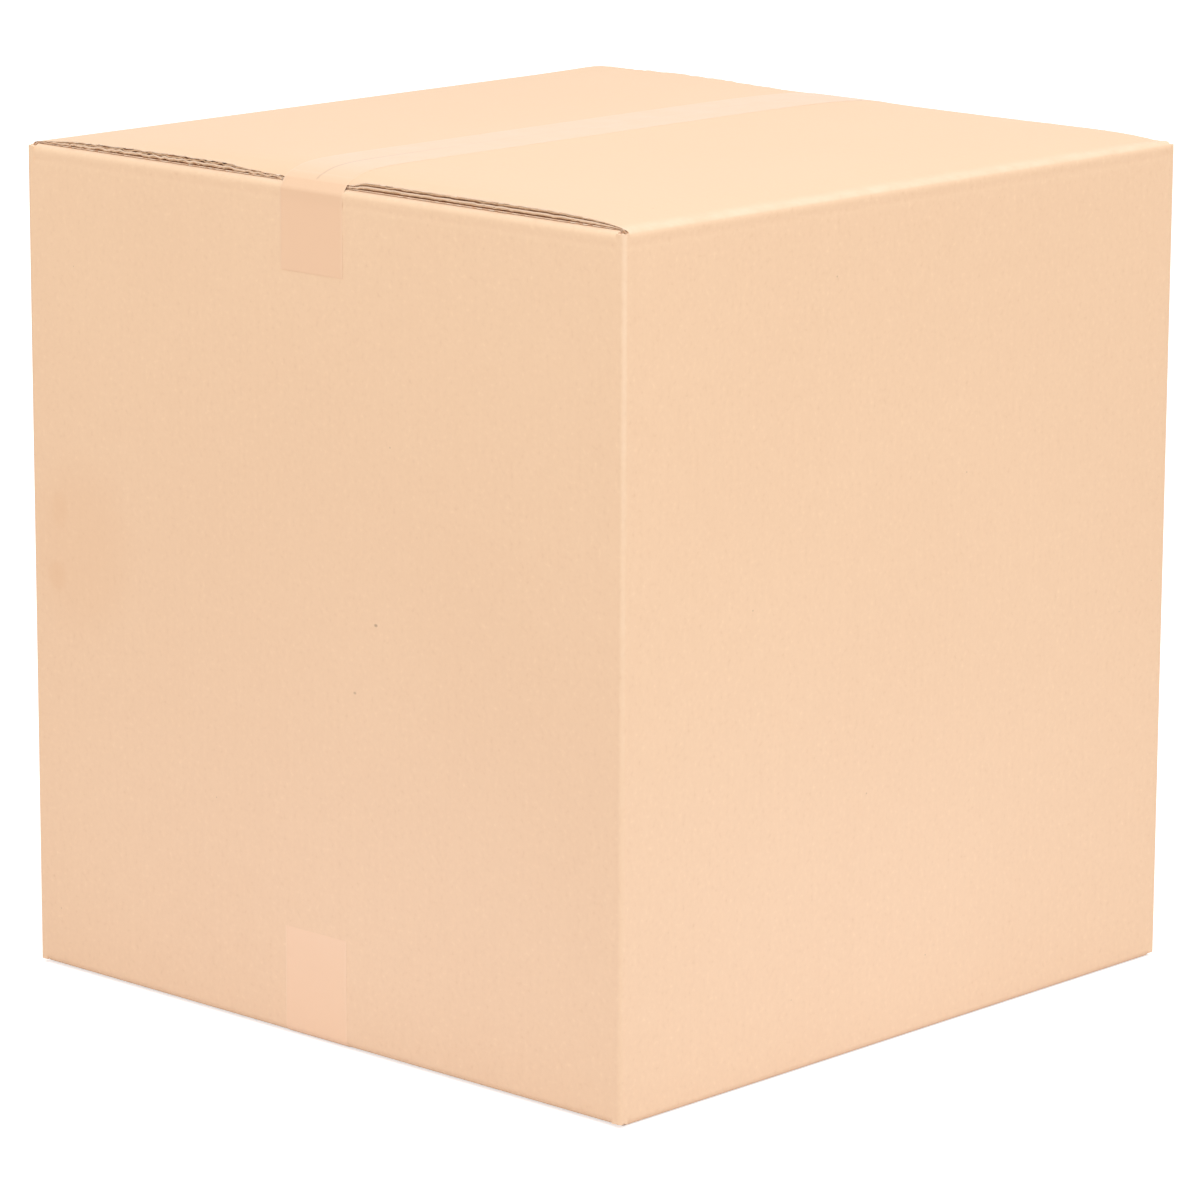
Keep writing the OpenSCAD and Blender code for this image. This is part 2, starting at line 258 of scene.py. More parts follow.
def tab_path(steps=8):
    """The glue tab inside the back wall and its fold into the left wall, in the left wall's frame."""
    out = np.linspace(HALF - TAB_REACH, HALF - CORNER_R, 6)
    turn = np.linspace(-math.pi / 2, 0, steps + 1)[1:-1]
    face, centre = BOARD - HALF, BOARD + CORNER_R - HALF
    outer = np.concatenate([
        np.stack([np.full_like(out, face), out], -1),
        np.stack([centre + CORNER_R * np.sin(turn), HALF - CORNER_R + CORNER_R * np.cos(turn)], -1)])
    in_centre = np.array([2 * BOARD + CORNER_IN_R - HALF, HALF - BOARD - CORNER_IN_R])
    in_out = np.linspace(HALF - TAB_REACH, in_centre[1], 6)
    inner = np.concatenate([
        np.stack([np.full_like(out, 2 * BOARD - HALF), in_out], -1),
        in_centre + CORNER_IN_R * np.stack([np.sin(turn), np.cos(turn)], -1)])
    return outer, inner


def wall(name, quarter, finishes):
    """An upright wall with the corner on its right: its section carried up, its face sunk by its
    unevenness. The back wall ends in a raw edge and has its papers and core apart."""
    outer, inner = wall_path(quarter)
    level = spread(WALL_LOW, WALL_HIGH, 4, 9, 24)
    path, height = np.meshgrid(np.arange(len(outer)), level, indexing="ij")
    across, out = outer[path, 0], outer[path, 1]
    flat = out > HALF - 0.01
    sunk = out - flat * wall_sink(across, height, 40 + quarter)
    shells = []
    if quarter == 2:
        core_end = HALF - JOINT_STEP - OPEN_DEPTH + CORE_LAP
        core = np.linspace(outer[0, 0], core_end, len(outer))[path]
        core_inside = np.linspace(inner[0, 0], core_end, len(outer))[path]
        shells += raw_joint(quarter)
        shells.append(slab(around(across, sunk, height, quarter),
                           around(across, sunk - LINER, height, quarter)))
        shells.append(slab(around(core, HALF - LINER - CORE_OUTER_GAP, height, quarter),
                           around(core_inside, HALF - BOARD + LINER + CORE_INNER_GAP, height, quarter),
                           FLUTED, FLUTED))
        shells.append(slab(around(inner[path, 0], HALF - BOARD + LINER, height, quarter),
                           around(inner[path, 0], inner[path, 1], height, quarter)))
    else:
        across, sunk = dent_corner(quarter, across, sunk, height)
        shells.append(slab(around(across, sunk, height, quarter),
                           around(inner[path, 0], inner[path, 1], height, quarter)))
    piece(name, shells, finishes, "carton")


def dent_corner(quarter, across, out, level):
    """The front right corner is knocked in a little, over a bell curve of the height."""
    if quarter != 0:
        return across, out
    to_next = rise(out, HALF - CORNER_R, HALF - 0.3 * CORNER_R)
    knock = 0.55 * bump(level, 335, 26) * rise(across, HALF - 9, HALF - CORNER_R) * to_next
    return across - knock * 0.7, out - knock * 0.7


def raw_joint(quarter):
    """The back wall's raw upright edge, glued over the tab: its papers stand open all the way up."""
    level = np.arange(WALL_LOW, WALL_HIGH + 0.1, 4.0)

    def at(index, depth, share):
        return around(HALF - JOINT_STEP - depth, HALF - BOARD + share * BOARD, level[index], quarter)

    return open_edge(at, lambda index, depth: np.full(index.shape, BOARD), level,
                     rough=0.35, seed=500, phases=(0.15, 0.6))


# Flaps
def lid_ends(y):
    """Shares of the lid's rise and of the tape's crush, from front to back: the flaps' ends are pressed
    down over a short way at the front, and slope down gently at the back."""
    front, back = HALF + y, HALF - y
    slope = np.exp(-np.maximum(back - (HALF - TOP_HALF), 0) / BACK_RUN)
    risen = (1 - np.exp(-np.maximum(front - RISE_EDGE, 0) / RIDGE_RUN)) * (1 - slope)
    crushed = np.clip(1 - (front - (HALF - TOP_HALF)) / CRUSH_LEN, 0, 1) ** 1.5 + slope
    return risen, crushed


class Flap:
    """A flap and its fold. Its section is a row of stations, each with an outer and an inner point,
    given as (distance from the wall's face, level outwards). A point of the flap is a mixture of the
    two, carried across the flap."""

    def __init__(self, quarter, crest, level, run, half, spacing, bottom=False, shaped=None,
                 short=None):
        self.quarter, self.bottom, self.shaped = quarter, bottom, shaped
        tilt = math.atan((level - crest) / run)
        stem = np.linspace(-WALL_LOW if bottom else WALL_HIGH, crest - FOLD_R, 7)[:-1]
        turn = np.linspace(0, 1, 9)
        angle = turn * (math.pi / 2 - tilt)
        rounding = np.stack([FOLD_R * (1 - np.cos(angle)), crest - FOLD_R + FOLD_R * np.sin(angle)], -1)
        away = np.append(np.arange(rounding[-1, 0] + 0.8, HALF - SEAM - 0.4, spacing), HALF - SEAM)
        settled = level + (rounding[-1, 1] - level) * np.exp(-(away - rounding[-1, 0]) / run)
        groove = 0 * stem if bottom else SCORE_DEPTH * bump(stem, crest - SCORE_DROP, SCORE_WIDTH)
        self.outer = np.concatenate([np.stack([groove, stem], -1), rounding,
                                     np.stack([away, settled], -1)])
        under = settled - BOARD if bottom or crest == level else np.full_like(away, level - BOARD)
        in_away = away + LEAD * np.exp(-(away - away[0]) / LEAD_RUN)
        in_start = min(crest - FOLD_R, under[0] - CREASE_DROP)
        in_stem = np.linspace(stem[0], in_start, 7)[:-1]
        in_round = np.stack([BOARD + CREASE * turn ** 2, in_start + (under[0] - in_start) * turn], -1)
        self.inner = np.concatenate([np.stack([0 * stem + BOARD, in_stem], -1), in_round,
                                     np.stack([in_away, under], -1)])
        self.inner[-1, 0] = self.outer[-1, 0]
        self.count = len(self.outer)
        steps = np.linalg.norm(np.diff(self.outer, axis=0), axis=1)
        self.way = np.concatenate([[0], np.cumsum(steps)])
        self.halves = {-1: np.full(self.count, half), 1: np.full(self.count, half)}
        if short:
            past_stem = rise(np.arange(self.count), len(stem), len(stem) + 8)
            self.halves[-1] = short + (half - short) * past_stem

    def across(self, stations, depth, end):
        """Across position at a depth in from the side edge at one end, -1 or 1."""
        return end * (self.halves[end][stations] - depth)

    def at(self, stations, across, share):
        """Points at stations, across positions and shares of the thickness, 0 inside to 1 outside."""
        out_d, out_l = np.moveaxis(self.outer[stations], -1, 0)
        in_d, in_l = np.moveaxis(self.inner[stations], -1, 0)
        if self.shaped:
            out_l, in_l = self.shaped(out_d, out_l, in_l, across)
        level = in_l + share * (out_l - in_l)
        out = HALF - in_d - share * (out_d - in_d)
        return around(across, out, -level if self.bottom else level, self.quarter)

    def thickness(self, stations, across):
        """Distance between a station's outer and inner point."""
        return np.linalg.norm(self.at(stations, across, 1.0) - self.at(stations, across, 0.0), axis=-1)

    def grid(self, stations, depths, fray=None):
        """Stations and across positions of a grid from one side edge to the other. Its rims are moved
        in by the fray."""
        rows, depth = np.meshgrid(stations, depths, indexing="ij")
        if fray is not None:
            depth = depth + fray[rows] * (depth == 0)
        across = [self.across(rows, depth, end) for end in (-1, 1)]
        return np.concatenate([rows, rows], 1), np.concatenate([across[0], across[1][:, ::-1]], 1)


def top_shape(rough, seed, reaches, back, swell):
    """How an outer top flap lies: it rises to the seam, but is held down at its ends, crushed there
    beside the tape over the reaches at the front and at the back, and a little uneven. Back is the
    end of the flap, -1 or 1, that lies at the back; its score there has swollen up again."""

    def shaped(distance, level, under, across):
        y = across * back
        away = HALF - np.abs(across)
        beside = (HALF - distance) - TAPE_HALF
        risen, crushed = lid_ends(y)
        lift = RIDGE_RISE * np.clip((distance - RISE_FIRST) / (RISE_LAST - RISE_FIRST), 0, 1) * risen
        reach = np.where(y < 0, reaches[0], reaches[1])
        crush = CRUSH_DROP * crushed * (1 - rise(beside, 0, reach)) * rise(distance, 3, 12)
        swollen = swell * bump(distance, 18, 15) * rise(distance, 4, 12) * np.exp(-(HALF - y) / 60)
        uneven = 0.10 * ripple_over(distance, across, 160, seed) - 0.10
        frayed = 0.20 * ripple(distance, 22, seed + 3) + 0.10 * ripple(distance, 8, seed + 4) - 0.25
        uneven = uneven + rough * bump(away, HALF - TOP_HALF, 7) * frayed
        lying = level + lift + swollen - crush + rise(beside, 4, 30) * rise(distance, 3, 20) * uneven
        under = np.maximum(under, lying - BOARD)
        return np.where(distance > BOARD, np.maximum(lying, under + CRUSHED_LEAST), lying), under

    return shaped


def heel_shape(distance, level, under, across):
    """How an outer bottom flap is pressed thin at its side edges by the inner flap that climbs onto it,
    and pressed in a little under the tape."""
    from_face = HALF - np.abs(across)
    climbed = 1 - np.exp(-np.maximum(0, from_face - FOLD_R) / CLIMB)
    ceiling = HEEL_CREST + (HEEL_LEVEL - HEEL_CREST) * climbed - 0.3
    pressed = np.where(distance > BOARD, np.minimum(-under, ceiling), -under)
    beside = (HALF - distance) - TAPE_HALF
    dent = BOTTOM_DENT * (1 - rise(beside, 3, 13))
    return level - dent * (distance > BOARD), -pressed


# Distances in from a flap's side edge, each step about a third longer than the one before
EDGE_DEPTHS = 1.9 * (1.32 ** np.arange(18) - 1)


def layered_flap(name, flap, finishes, front_rough, seed, phases):
    """An outer top flap: top and bottom liners, a core set back from its cut side edges, and open
    flutes there."""
    stations = np.arange(flap.count)

    def liner_side(share_of, fray_seed):
        fray = (0.25 + 0.25 * ripple(flap.way, 6, fray_seed)) * rise(flap.way, 7, 12)
        rows, across = flap.grid(stations, EDGE_DEPTHS, fray)
        return flap.at(rows, across, share_of(paper_shares(flap.thickness(rows, across))[0]))

    shells = [slab(liner_side(lambda liner: 1 + 0 * liner, seed + 5),
                   liner_side(lambda liner: 1 - liner, seed + 6)),
              slab(liner_side(lambda liner: liner, seed + 7),
                   liner_side(lambda liner: 0 * liner, seed + 8))]
    few = np.unique(np.append(np.arange(0, flap.count, 3), flap.count - 1))
    rows, across = flap.grid(few, np.array([OPEN_DEPTH - CORE_LAP, 18, 60, 140, 210]))
    shells.append(slab(flap.at(rows, across, CORE_HIGH), flap.at(rows, across, CORE_LOW),
                       FLUTED, FLUTED))
    front = -1 if flap.quarter == 1 else 1
    for end in (front, -front):
        def at(index, depth, share, end=end):
            return flap.at(index, flap.across(index, depth, end), share)

        def thickness(index, depth, end=end):
            return flap.thickness(index, flap.across(index, depth, end))

        rough = front_rough if end == front else 0.6
        shells += open_edge(at, thickness, flap.way, rough, seed + 60 * (2 + end), phases)
    piece(name, shells, finishes, "carton")


def plain_flap(name, flap, finishes):
    """A flap whose cut edges are out of sight: one closed shell of its full thickness."""
    rows, across = flap.grid(np.arange(flap.count), EDGE_DEPTHS)
    piece(name, [slab(flap.at(rows, across, 1.0), flap.at(rows, across, 0.0))], finishes,
          "carton")


# Corner ends beside the slots
def corner_post(quarter, start, end, low, high, seed):
    """The board's end in an upright corner, beside the slots: two ragged papers and a core between
    them that is set back."""
    round_outer, round_inner = corner_round(6)
    if quarter == 2:
        joint = HALF - JOINT_STEP
        outer = np.array([[start, HALF], [joint, HALF]])
        inner = np.array([[start, HALF - BOARD], [joint, HALF - BOARD]])
    else:
        outer = np.concatenate([[[start, HALF], [HALF - CORNER_R, HALF]], round_outer, [[HALF, end]]])
        inner_start = HALF - BOARD - CORNER_IN_R
        inside = HALF - BOARD
        inner = np.concatenate([[[min(start, inner_start - 0.5), inside], [inner_start, inside]],
                                round_inner, [[inside, min(end, inner_start - 0.5)]]])
    index, part = np.meshgrid(np.arange(len(outer)), np.linspace(0, 1, 5), indexing="ij")
    ragged = 0.35 * ripple(index * 0.8, 2.5, seed) - 0.2
    upwards = 1 if high > low else -1
    shells = []
    for top_share, low_share, set_back, face in (
            (1.0, 0.61, 0.0, KRAFT), (0.59, 0.41, 0.9, FLUTED), (0.39, 0.0, 0.3, RAW)):
        end_off = (ragged if face != FLUTED else 0) - set_back
        level = low + part * (high - low) + (part == 1) * end_off * upwards

        def side(share):
            mixed = inner[index] + share * (outer[index] - inner[index])
            return around(mixed[..., 0], mixed[..., 1], level, quarter)

        shells.append(slab(side(top_share), side(low_share), face, face))
    return shells


def left_post(low, high):
    """The left wall's end beside the glued joint, where it rounds into the tab."""
    outer, inner = tab_path()
    keep = outer[:, 1] > HALF - LEFT_POST_REACH
    outer = np.concatenate([outer[keep], [[BOARD + CORNER_R - HALF, HALF]]])
    inner = np.concatenate([inner[keep], [[2 * BOARD + LEFT_POST_IN - HALF, HALF - BOARD]]])
    index, level = np.meshgrid(np.arange(len(outer)), np.linspace(low, high, 4), indexing="ij")
    return [slab(around(outer[index, 0], outer[index, 1], level, 3),
                 around(inner[index, 0], inner[index, 1], level, 3))]


# Tapes
def wrap(off, board, heel, tail):
    """A tape's path at a distance off the board: along the board's line from the seam to the flap's
    edge, round that edge, drawn straight to the wall's fold, round it and down to its tail. Points are
    (distance from the wall's face, level outwards)."""
    way = np.gradient(board, axis=0)
    way /= np.linalg.norm(way, axis=1, keepdims=True)
    over = board + off * np.stack([way[:, 1], -way[:, 0]], -1)
    edge = board[-1]
    to_edge = edge - (FOLD_R, heel - FOLD_R)
    lean = math.atan2(to_edge[1], to_edge[0]) + math.acos(FOLD_R / float(np.hypot(*to_edge)))
    turn = np.linspace(math.atan2(-way[-1, 0], way[-1, 1]), lean, 4)[1:]
    lip = edge + off * np.stack([np.cos(turn), np.sin(turn)], -1)
    turn = np.linspace(lean, math.pi, 9)
    bend = np.array([FOLD_R, heel - FOLD_R]) + (FOLD_R + off) * np.stack([np.cos(turn), np.sin(turn)], -1)
    down = np.linspace(heel - FOLD_R - 2, tail, 14)
    return np.concatenate([over, lip, bend, np.stack([0 * down - off, down], -1)])


def seam_line(edge):
    """Distances from the wall's face at which a tape's path is laid out, from the seam to a flap's edge."""
    return np.concatenate([np.linspace(HALF, 60, 16), np.linspace(55, 12, 14), np.linspace(10.5, edge, 12)])


def lid_line(end):
    """The board's line under the top tape, from the seam to the flaps' front (-1) or back (1) edge."""
    line = seam_line(HALF - TOP_HALF)
    risen, crushed = lid_ends(end * (HALF - line))
    return np.stack([line, TOP_LEVEL + RIDGE_RISE * risen - CRUSH_DROP * crushed], -1)


def tape(name, node, finish, seed, bottom, boards, heel, tail):
    """A tape from tail to tail: its path carried across, with small wrinkles and a faint dip over the
    seam. Its film is thinned towards its four rims, and these lie close on the board."""
    half_across = TAPE_HALF * (1 - np.cos(np.linspace(0, math.pi, 15))) / 2
    across = np.concatenate([-half_across[:0:-1], half_across])
    sides = []
    for film in (TAPE_FILM, 0.0):
        paths = []
        for off in (TAPE_GLUE + film, RIM_GLUE + film * RIM_FILM):
            front, back = (wrap(off, board, heel, tail) for board in boards)
            paths.append(np.concatenate([front[::-1], back[1:] * [-1, 1] + [2 * HALF, 0]]))
        index, x = np.meshgrid(np.arange(len(front) * 2 - 1), across, indexing="ij")
        at_end = np.minimum(index, index.max() - index) == 0
        rim = np.maximum(rise(np.abs(x), TAPE_HALF - RIM_WIDTH, TAPE_HALF), at_end)[..., None]
        place = paths[0][index] * (1 - rim) + paths[1][index] * rim
        y, level = place[..., 0] - HALF, place[..., 1]
        on_flaps = rise(HALF - np.abs(y), 8, 14)
        wrinkle = np.minimum(0.008 * ripple_over(x, y, 26, seed) - 0.012, 0) * (np.abs(x) < 23.5)
        level = level + on_flaps * (wrinkle - 0.03 * bump(x, 0, 0.8))
        sides.append(np.stack([x, y, -level if bottom else level], -1))
    piece(name, [slab(*sides, KRAFT, KRAFT)], [finish], node)


# Finishes
class Value:
    """A number that varies over a surface. Sums and products of such numbers add Math nodes."""

    def __init__(self, finish, socket):
        self.finish, self.socket = finish, socket

    def _math(self, kind, *terms):
        return self.finish.node("Math", {"operation": kind}, dict(enumerate(terms)))

    def __add__(self, other):
        return self._math("ADD", self, other)

    def __sub__(self, other):
        return self._math("SUBTRACT", self, other)

    def __rsub__(self, other):
        return self._math("SUBTRACT", other, self)

    def __mul__(self, other):
        return self._math("MULTIPLY", self, other)

    __radd__, __rmul__ = __add__, __mul__

    def size(self):
        return self._math("ABSOLUTE", self)

    def sine(self):
        return self._math("SINE", self)

    def held(self):
        """Kept between 0 and 1."""
        return self._math("MAXIMUM", self._math("MINIMUM", self, 1.0), 0.0)

    def above(self, start, end):
        """Smooth step from 0 at start to 1 at end."""
        return self.finish.node("MapRange", {"interpolation_type": "SMOOTHSTEP"},
                                {"Value": self, "From Min": start, "From Max": end})


class Finish:
    """A material under construction. node() adds any node from its type, its settings and its sockets,
    each of which takes a constant or a Value to link."""

    def __init__(self, name):
        self.material = bpy.data.materials.new(name)
        self.material.use_nodes = True
        self.tree = self.material.node_tree
        self.tree.nodes.clear()

    def node(self, kind, settings=None, sockets=None, output=0):
        made = self.tree.nodes.new("ShaderNode" + kind)
        for key, setting in (settings or {}).items():
            setattr(made, key, setting)
        for key, value in (sockets or {}).items():
            if isinstance(value, Value):
                self.tree.links.new(value.socket, made.inputs[key])
            else:
                made.inputs[key].default_value = value
        return Value(self, made.outputs[output])

    def place(self):
        """The surface's place in metres as a vector and its three coordinates."""
        where = self.node("TexCoord", output="Object")
        split = self.node("SeparateXYZ", sockets={0: where}).socket.node
        return where, [Value(self, split.outputs[k]) for k in range(3)]

    def stretched(self, where, scale):
        return self.node("Mapping", sockets={"Vector": where, "Scale": scale})

    def noise(self, where, scale, detail=2.0, roughness=0.5):
        """Noise about 0, between about -1 and 1, with features of about 1/scale metres."""
        sockets = {"Vector": where, "Scale": scale, "Detail": detail, "Roughness": roughness}
        return self.node("TexNoise", sockets=sockets, output="Fac") * 4.0 - 2.0

    def mix(self, share, first, second):
        """A colour: the first where the share is 0, the second where it is 1."""
        return self.node("Mix", {"data_type": "RGBA"}, {0: share, 6: first, 7: second}, output=2)

    def dots(self, where, scale, radius, chosen):
        """Small round spots of a radius in metres, at the chosen share of a cell texture's points."""
        cell = self.node("TexVoronoi", {"feature": "F1"}, {"Vector": where, "Scale": scale},
                         output="Distance")
        colour = Value(self, cell.socket.node.outputs["Color"])
        pick = Value(self, self.node("SeparateColor", sockets={0: colour}).socket.node.outputs[0])
        near = 1.0 - cell.above(radius * scale * 0.5, radius * scale)
        return near * (1.0 - pick.above(chosen, chosen + 0.02))

    def spot(self, x, z, at_x, at_z, wide, high):
        """A soft round patch of the front wall: 1 in its middle, 0 past its half width and half height."""
        far_x, far_z = (x - at_x) * (1 / wide), (z - at_z) * (1 / high)
        return 1.0 - (far_x * far_x + far_z * far_z).above(0.0, 1.0)

    def surface(self, colour, roughness, height, lift):
        """The shader and its output: colour, roughness and a bump of so many metres per unit of height."""
        normal = self.node("Bump", sockets={"Strength": 1.0, "Distance": lift, "Height": height})
        sockets = {"Base Color": colour, "Roughness": roughness, "Normal": normal}
        self.node_output(self.node("BsdfPrincipled", sockets=sockets))
        return self.material

    def node_output(self, shader):
        made = self.tree.nodes.new("ShaderNodeOutputMaterial")
        self.tree.links.new(shader.socket, made.inputs["Surface"])


def rgb(red, green, blue):
    return (red, green, blue, 1.0)


KRAFT_LIGHT = rgb(0.980, 0.658, 0.410)
KRAFT_DARK = rgb(0.770, 0.454, 0.260)
# Colour of rubbed wear and of painted highlight
WORN_AND_HIGHLIGHT = rgb(0.950, 0.680, 0.470)
RAW_LIGHT = rgb(0.97, 0.72, 0.52)
RAW_DARK = rgb(0.82, 0.56, 0.38)
FLUTE_LIGHT = rgb(0.91, 0.62, 0.40)
FLUTE_DARK = rgb(0.54, 0.31, 0.15)
SPECK = rgb(0.30, 0.17, 0.10)
STAIN = rgb(0.84, 0.50, 0.28)

# Steps between one part of the surface and the next, from and to, in metres
FRONT_INSIDE = (-0.2392, -0.2372)  # y, in from the front wall's face
LID_START = (0.5005, 0.5030)  # z, from the folds' crests to the lid
CREST_START, CREST_END = (0.4982, 0.4996), (0.5015, 0.5030)  # z, round the folds' crests
CORNER_START = (0.2368, 0.2392)  # distance from the middle on both axes, at the upright corners
TAIL_END = (0.485, 0.497)  # z, from the tapes' upright tails to the lid


def kraft_paper(name, flutes, front_marks_and_light=False):
    """The board's outer paper. Flutes says which coordinate, 0 or 1, the flutes are counted along. On the
    front wall it has a stain near its left edge and two dark spots, and painted light that lightens its
    colour towards the wall's top. Along the upright corners it is lighter, partly rubbed wear and partly
    painted highlight that fades downwards, and the crests of the top folds carry a painted highlight."""
    f = Finish(name)
    where, (x, y, z) = f.place()
    cloud = f.noise(where, 7.0, 1.0)
    mottle = f.noise(where, 75.0, 2.0, 0.6)
    fleck = f.noise(where, 330.0, 1.0)
    fibre = f.noise(f.stretched(where, (1.0, 1.0, 0.6)), 850.0, 2.0, 0.6)
    washboard_and_shade = ((x, y)[flutes] * (2 * math.pi / (FLUTE_PITCH * MM)) + cloud * 0.9).sine()
    fine = fleck * fleck.size() * 0.12 + fibre * 0.033
    # The washboard term paints a faint shade of the flute ridges into the colour; in the height further
    # down it is the relief
    shade = 0.5 + cloud * 0.027 + mottle * 0.033 + washboard_and_shade * 0.007
    shade = shade + fine * (1.0 - z.above(*LID_START) * 0.8)
    if front_marks_and_light:
        front = 1.0 - y.above(*FRONT_INSIDE)
        # Painted light: the front wall's colour is lightened towards its top
        shade = shade + front * z.above(0.12, 0.55) * 0.25
    colour = f.mix(shade.held(), KRAFT_DARK, KRAFT_LIGHT)
    specks = f.dots(where, 34.0, 0.0007, 0.5) * 0.35
    if front_marks_and_light:
        stain = f.spot(x, z, -0.1980, 0.2620, 0.055, 0.065) * 0.30
        stain = stain + f.spot(x, z, -0.2190, 0.2430, 0.010, 0.012) * 0.40
        stain = stain + f.spot(x, z, -0.2157, 0.2835, 0.009, 0.014) * 0.28
        colour = f.mix((stain * front).held(), colour, STAIN)
        spots = f.spot(x, z, 0.0500, 0.2550, 0.0018, 0.0012)
        spots = spots + f.spot(x, z, 0.0330, 0.2130, 0.0015, 0.0010) * 0.7
        specks = specks + spots * front * 0.6
    colour = f.mix(specks.held(), colour, SPECK)
    by_side, by_end = x.size(), y.size()
    upright = by_side.above(*CORNER_START) * by_end.above(*CORNER_START)
    by_wall = (by_side.above(0.228, 0.237) + by_end.above(0.232, 0.238)).held()
    # Painted highlight along the crests of the top folds
    crest = z.above(*CREST_START) * (1.0 - z.above(*CREST_END)) * by_wall
    # Lighter along the upright corners, partly rubbed wear and partly painted highlight that fades
    # downwards
    wear_and_highlight = upright * (0.22 + mottle * 0.15) * z.above(-0.05, 0.45) + crest * (0.35 + mottle * 0.2)
    colour = f.mix(wear_and_highlight.held(), colour, WORN_AND_HIGHLIGHT)
    height = washboard_and_shade * 0.015 + fleck * 0.012 + fibre * 0.012
    return f.surface(colour, (0.56 + fibre * 0.05 + mottle * 0.03).held(), height, 0.0007)


def cut_paper(name, dark, light, seed):
    """Paper seen at its cut edge or inside the flutes: rougher and browner than the board's face."""
    f = Finish(name)
    where, _ = f.place()
    moved = f.node("Mapping", sockets={"Vector": where, "Location": (seed, 0.0, 0.0)})
    streak = f.noise(f.stretched(moved, (0.35, 1.0, 2.0)), 260.0, 3.0, 0.6)
    fibre = f.noise(moved, 1500.0, 2.0, 0.6)
    colour = f.mix((0.5 + streak * 0.32 + fibre * 0.24).held(), dark, light)
    return f.surface(colour, 0.8, streak * 0.1 + fibre * 0.08, 0.0006)


def tape_film(name):
    """Thin packing tape: the board's colour shows through it, a little pinker, and lighter on the
    upright tails, with the seam as a fine shadow."""
    f = Finish(name)
    where, (x, y, z) = f.place()
    cloud = f.noise(where, 7.0, 2.0)
    mottle = f.noise(where, 55.0, 3.0, 0.6)
    fibre = f.noise(where, 900.0, 3.0, 0.65)
    crinkle = f.noise(f.stretched(where, (1.0, 0.12, 0.12)), 120.0, 2.0, 0.5)
    shade = 0.5 + cloud * 0.10 + mottle * 0.06 + fibre * 0.06
    colour = f.mix(shade.held(), rgb(0.865, 0.525, 0.315), rgb(0.915, 0.580, 0.355))
    colour = f.mix((1.0 - z.above(*TAIL_END)) * 0.5, colour, rgb(0.940, 0.585, 0.360))
    seam = (1.0 - x.size().above(0.0002, 0.0014)) * (1.0 - y.size().above(0.2345, 0.2360))
    colour = f.mix(seam * (0.05 + (y * -1.0).above(0.08, 0.20) * 0.28), colour, rgb(0.45, 0.27, 0.17))
    # Painted highlight: the film is lighter along its two side rims
    colour = f.mix(x.size().above(0.0240, 0.0246) * 0.25, colour, rgb(0.93, 0.66, 0.45))
    return f.surface(colour, (0.34 + mottle * 0.04).held(), crinkle * 0.05 + mottle * 0.02, 0.0006)


# The carton
kraft_on_x = kraft_paper("kraft_front", 0, front_marks_and_light=True)
kraft_on_y = kraft_paper("kraft_side", 1)
raw_paper = cut_paper("cut_liner", RAW_DARK, RAW_LIGHT, 0.0)
fluted_paper = cut_paper("fluted_paper", FLUTE_DARK, FLUTE_LIGHT, 3.0)
front_finishes = [kraft_on_x, raw_paper, fluted_paper]
side_finishes = [kraft_on_y, raw_paper, fluted_paper]

for quarter, name in enumerate(("front_wall", "right_wall", "back_wall", "left_wall")):
    wall(name, quarter, side_finishes if quarter % 2 else front_finishes)

for quarter, name, run, rough, reaches, back, swell, phases in (
        (1, "right_top_flap", 19.0, 0.30, (18.0, 500.0), 1, 0.0, (0.27, 0.33)),
        (3, "left_top_flap", 31.0, 1.0, (60.0, 140.0), -1, 1.5, (0.27, 0.6))):
    flap = Flap(quarter, OUTER_CREST, TOP_LEVEL, run, TOP_HALF, 1.9,
                shaped=top_shape(rough, 70 + quarter, reaches, back, swell),
                short=HALF - BOARD - CORNER_R if quarter == 3 else None)
    layered_flap(name, flap, side_finishes, rough, 200 + 100 * quarter, phases)

for quarter, name in ((0, "front_inner_flap"), (2, "back_inner_flap")):
    plain_flap(name + "_top", Flap(quarter, INNER_TOP, INNER_TOP, CLIMB, INNER_HALF, 6.0), front_finishes)
    heel = Flap(quarter, -HEEL_CREST, -HEEL_LEVEL, CLIMB, INNER_HALF, 6.0, bottom=True)
    plain_flap(name + "_bottom", heel, front_finishes)

for quarter, name in ((1, "right_bottom_flap"), (3, "left_bottom_flap")):
    flap = Flap(quarter, 0.0, 0.0, CLIMB, BOTTOM_HALF, 4.0, bottom=True, shaped=heel_shape,
                short=HALF - BOARD - CORNER_R if quarter == 3 else None)
    plain_flap(name, flap, side_finishes)

posts = left_post(WALL_HIGH, POST_TOP - LEFT_POST_DROP) + left_post(WALL_LOW, POST_LOW)
for quarter in range(4):
    even = quarter % 2 == 0
    posts += corner_post(quarter, INNER_HALF if even else TOP_HALF, TOP_HALF if even else INNER_HALF,
                         WALL_HIGH, POST_TOP, 600 + quarter)
    posts += corner_post(quarter, INNER_HALF if even else BOTTOM_HALF, BOTTOM_HALF if even else INNER_HALF,
                         WALL_LOW, POST_LOW, 700 + quarter)
piece("corner_ends", posts, front_finishes, "carton")

film = tape_film("packing_tape")
tape("top_tape_film", "top_tape", film, 810, False, [lid_line(-1), lid_line(1)], INNER_TOP, 450.0)
flat = seam_line(HALF - BOTTOM_HALF)
flat = np.stack([flat, 0 * flat - BOTTOM_DENT], -1)
tape("bottom_tape_film", "bottom_tape", film, 820, True, [flat, flat], -HEEL_CREST, -65.0)

# Floor, light and camera
LIGHT_LEVEL = 0.94  # world light on the object; the camera and reflections see the full white


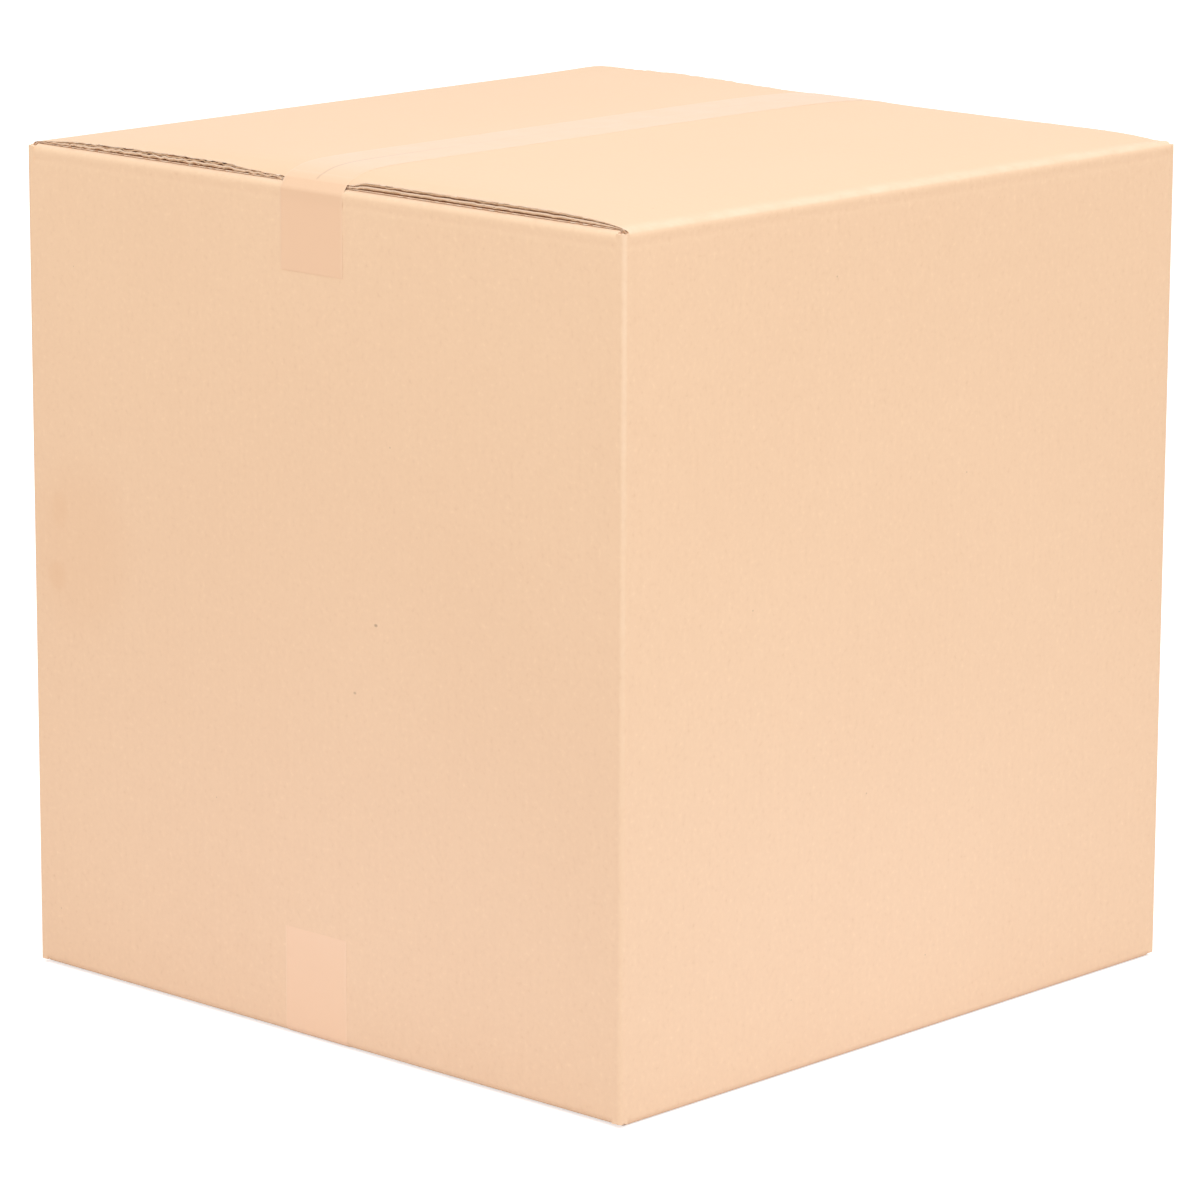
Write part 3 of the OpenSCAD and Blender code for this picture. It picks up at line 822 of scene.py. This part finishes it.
def white_floor():
    """A broad white floor: it takes the carton's shadow, and the camera sees it lifted to the white
    of the backdrop."""
    f = Finish("white_floor")
    seen = f.node("LightPath", output="Is Camera Ray")
    lifted = f.node("Emission", sockets={"Color": rgb(1, 1, 1), "Strength": seen * 0.60})
    matt = f.node("BsdfDiffuse", sockets={"Color": rgb(0.77, 0.73, 0.71)})
    f.node_output(f.node("AddShader", sockets={0: matt, 1: lifted}))
    reach = 12.0
    mesh = bpy.data.meshes.new("floor")
    ring = ((-reach, -reach), (reach, -reach), (reach, reach), (-reach, reach))
    corners = [(x, y, -0.0001) for x, y in ring]
    mesh.from_pydata(corners, [], [(0, 1, 2, 3)])
    mesh.materials.append(f.material)
    floor = bpy.data.objects.new("floor", mesh)
    bpy.context.scene.collection.objects.link(floor)


def white_world():
    """White all round: full strength for the camera and reflections, the light level for the rest."""
    world = bpy.data.worlds.new("white_world")
    world.use_nodes = True
    nodes, links = world.node_tree.nodes, world.node_tree.links
    path, mix, high = nodes.new("ShaderNodeLightPath"), nodes["Background"], nodes.new("ShaderNodeMath")
    high.operation = "MAXIMUM"
    links.new(path.outputs["Is Camera Ray"], high.inputs[0])
    links.new(path.outputs["Is Glossy Ray"], high.inputs[1])
    level = nodes.new("ShaderNodeMapRange")
    level.inputs["To Min"].default_value = LIGHT_LEVEL
    level.inputs["To Max"].default_value = 1.0
    links.new(high.outputs[0], level.inputs["Value"])
    links.new(level.outputs[0], mix.inputs["Strength"])
    mix.inputs["Color"].default_value = rgb(1, 1, 1)
    bpy.context.scene.world = world


def soft_lamp(name, place, target, size, power, colour):
    """An area lamp of a width and a height at a place, facing a target."""
    data = bpy.data.lights.new(name, "AREA")
    data.shape, data.energy, data.color = "RECTANGLE", power, colour
    data.size, data.size_y = size
    lamp = bpy.data.objects.new(name, data)
    lamp.visible_camera = False
    bpy.context.scene.collection.objects.link(lamp)
    lamp.location = place
    aim = np.array(target, float) - np.array(place, float)
    tilt = math.acos(-aim[2] / np.linalg.norm(aim))
    lamp.rotation_euler = (tilt, 0.0, math.atan2(aim[1], aim[0]) - math.pi / 2)


def photo_camera():
    """The photograph's view: turned and pitched round the carton's middle, with a long lens."""
    yaw, pitch, roll = (math.radians(a) for a in (43.007, 12.656, 0.252))
    distance, aside, above = 3.4583, -0.0007, -0.0260
    level = math.cos(pitch)
    forward = np.array([-math.sin(yaw) * level, math.cos(yaw) * level, -math.sin(pitch)])
    right = np.array([math.cos(yaw), math.sin(yaw), 0.0])
    up = np.cross(right, forward)
    right, up = (math.cos(roll) * right + math.sin(roll) * up, math.cos(roll) * up - math.sin(roll) * right)
    eye = np.array([0.0, 0.0, 0.25]) - distance * forward + aside * right + above * up
    data = bpy.data.cameras.new("photo_camera")
    data.sensor_width = 36.0
    data.lens = 173.0
    camera = bpy.data.objects.new("photo_camera", data)
    bpy.context.scene.collection.objects.link(camera)
    frame_axes = np.eye(4)
    frame_axes[:3, 0], frame_axes[:3, 1], frame_axes[:3, 2], frame_axes[:3, 3] = right, up, -forward, eye
    camera.matrix_world = Matrix(frame_axes.tolist())
    bpy.context.scene.camera = camera


white_floor()
white_world()
soft_lamp("window_light", (1.5, -0.7, 3.0), (0, 0, 0.3), (2.2, 2.2), 55.0, (0.56, 0.79, 1.0))
soft_lamp("low_front_light", (0, -0.52, 0.03), (0, -0.24, 0.0), (0.54, 0.05), 0.21, (0.36, 0.58, 1.0))
soft_lamp("low_right_light", (0.52, 0, 0.03), (0.24, 0, 0.0), (0.54, 0.05), 0.21, (0.36, 0.58, 1.0))
photo_camera()
bpy.context.scene.view_settings.view_transform = "Standard"
